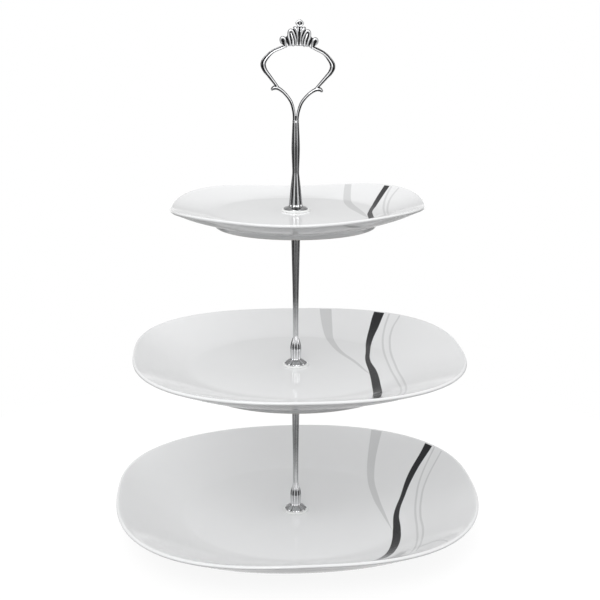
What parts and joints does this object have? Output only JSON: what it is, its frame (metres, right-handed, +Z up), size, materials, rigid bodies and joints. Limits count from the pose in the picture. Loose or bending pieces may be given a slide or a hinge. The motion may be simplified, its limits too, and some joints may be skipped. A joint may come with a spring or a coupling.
{
  "type": "tiered cake stand",
  "caption": "Three rounded-square porcelain plates on a screwed cast metal column with a crown-shaped loop handle, for serving cakes; each plate turns and the column unscrews.",
  "frame": {"origin": "centre of the bottom plate's foot ring, on the surface the stand rests on", "axes": "+Z runs up the column, X and Y run across the flats of the bottom plate, and the handle's loop lies in the XZ plane"},
  "size_m": [0.25, 0.25, 0.3491],
  "materials": {
    "glazed_porcelain": "clear gloss glaze on white porcelain, with one light grey band, one charcoal band and thin grey lines fired on the upper face",
    "cast_chrome": "bright chrome plate on a zinc casting, softly rounded from polishing",
    "zinc_steel": "bright zinc plate on steel, with fine turning marks",
    "clear_plastic": "milky translucent soft plastic"
  },
  "bodies": {
    "bottom_plate": {"bottom_plate": "glazed_porcelain"},
    "base_fastening": {"base_screw": "zinc_steel", "bottom_steel_washer": "zinc_steel", "bottom_cushion_washer": "clear_plastic"},
    "lower_seat": {"lower_rod_seat_washer": "clear_plastic"},
    "lower_rod": {"lower_rod": "cast_chrome", "lower_stud": "zinc_steel", "middle_steel_washer": "zinc_steel", "middle_cushion_washer": "clear_plastic"},
    "middle_plate": {"middle_plate": "glazed_porcelain"},
    "upper_seat": {"upper_rod_seat_washer": "clear_plastic"},
    "upper_rod": {"upper_rod": "cast_chrome", "upper_stud": "zinc_steel", "top_steel_washer": "zinc_steel", "top_cushion_washer": "clear_plastic"},
    "top_plate": {"top_plate": "glazed_porcelain"},
    "handle_seat": {"crown_handle_seat_washer": "clear_plastic"},
    "crown_handle": {"crown_handle": "cast_chrome"}
  },
  "joints": [
    {"name": "column_turn", "type": "hinge", "parent": "bottom_plate", "child": "base_fastening", "pos_m": [0, 0, 0.009], "axis": [0, 0, 1], "continuous": true},
    {"name": "lower_rod_rise", "type": "slide", "parent": "base_fastening", "child": "lower_seat", "axis": [0, 0, 1], "range_m": [0, 0.0065]},
    {"name": "lower_rod_unscrew", "type": "hinge", "parent": "lower_seat", "child": "lower_rod", "pos_m": [0, 0, 0.0102], "axis": [0, 0, 1], "range_deg": [0, 3343]},
    {"name": "middle_plate_turn", "type": "hinge", "parent": "lower_rod", "child": "middle_plate", "pos_m": [0, 0, 0.1165], "axis": [0, 0, 1], "continuous": true},
    {"name": "upper_rod_rise", "type": "slide", "parent": "lower_rod", "child": "upper_seat", "axis": [0, 0, 1], "range_m": [0, 0.0065]},
    {"name": "upper_rod_unscrew", "type": "hinge", "parent": "upper_seat", "child": "upper_rod", "pos_m": [0, 0, 0.1177], "axis": [0, 0, 1], "range_deg": [0, 3343]},
    {"name": "top_plate_turn", "type": "hinge", "parent": "upper_rod", "child": "top_plate", "pos_m": [0, 0, 0.224], "axis": [0, 0, 1], "continuous": true},
    {"name": "handle_rise", "type": "slide", "parent": "upper_rod", "child": "handle_seat", "axis": [0, 0, 1], "range_m": [0, 0.0065]},
    {"name": "handle_unscrew", "type": "hinge", "parent": "handle_seat", "child": "crown_handle", "pos_m": [0, 0, 0.2252], "axis": [0, 0, 1], "range_deg": [0, 3343]}
  ],
  "couplings": [
    {"joint": "lower_rod_unscrew", "follows": "lower_rod_rise", "rad_per_m": 8976},
    {"joint": "upper_rod_unscrew", "follows": "upper_rod_rise", "rad_per_m": 8976},
    {"joint": "handle_unscrew", "follows": "handle_rise", "rad_per_m": 8976}
  ]
}
